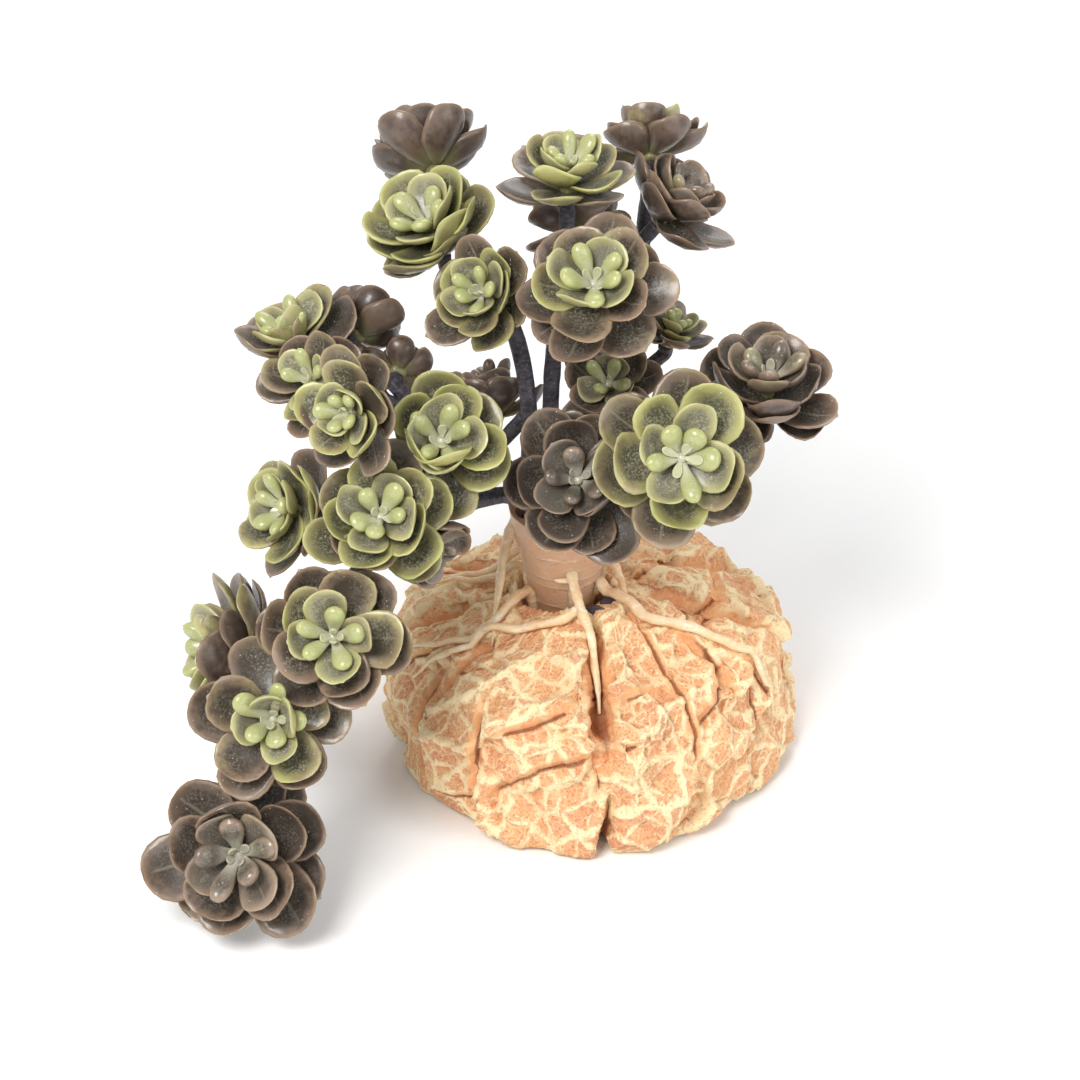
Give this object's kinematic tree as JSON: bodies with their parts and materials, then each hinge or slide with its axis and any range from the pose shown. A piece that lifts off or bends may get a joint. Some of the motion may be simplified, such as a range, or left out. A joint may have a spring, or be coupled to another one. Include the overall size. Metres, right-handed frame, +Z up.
{
  "type": "potted sedum",
  "caption": "Potted sedum: cupped leaf rosettes on dark branching stems, some trailing over one side, on a tan trunk with root strands that stands in a lobed, carved rock base.",
  "frame": {"origin": "centre of the rock base's flat underside, on the surface it stands on", "axes": "+Z up; -Y towards the front, which the picture shows; +X to the right as seen from the front, away from the trailing stem"},
  "size_m": [0.153, 0.1403, 0.1583],
  "materials": {
    "rock": "matt cast resin, orange sandstone with pale raised edges",
    "trunk": "translucent tan, satin",
    "stem": "dark grey, ribbed, slightly shiny",
    "green_leaf": "waxy satin olive with tan rims and a frosted pale centre",
    "brown_leaf": "waxy satin grey-brown with tan rims"
  },
  "bodies": {
    "root": {"rock_base": "rock", "trunk_roots": "trunk", "stem_1": "stem", "stem_2": "stem", "stem_3": "stem", "stem_4": "stem", "stem_5": "stem", "stem_6": "stem", "rosette_01": "brown_leaf", "rosette_02": "green_leaf", "rosette_03": "green_leaf", "rosette_04": "green_leaf", "rosette_05": "green_leaf", "rosette_06": "brown_leaf", "rosette_07": "brown_leaf", "rosette_08": "green_leaf", "rosette_09": "brown_leaf", "rosette_10": "green_leaf", "rosette_11": "green_leaf", "rosette_12": "brown_leaf", "rosette_13": "green_leaf", "rosette_14": "brown_leaf", "rosette_15": "green_leaf", "rosette_16": "brown_leaf", "rosette_17": "green_leaf", "rosette_18": "green_leaf", "rosette_19": "brown_leaf", "rosette_20": "green_leaf", "rosette_21": "green_leaf", "rosette_22": "green_leaf", "rosette_23": "green_leaf", "rosette_24": "green_leaf", "rosette_25": "brown_leaf", "rosette_26": "brown_leaf", "rosette_27": "brown_leaf", "rosette_28": "green_leaf", "rosette_29": "green_leaf"}
  },
  "joints": []
}
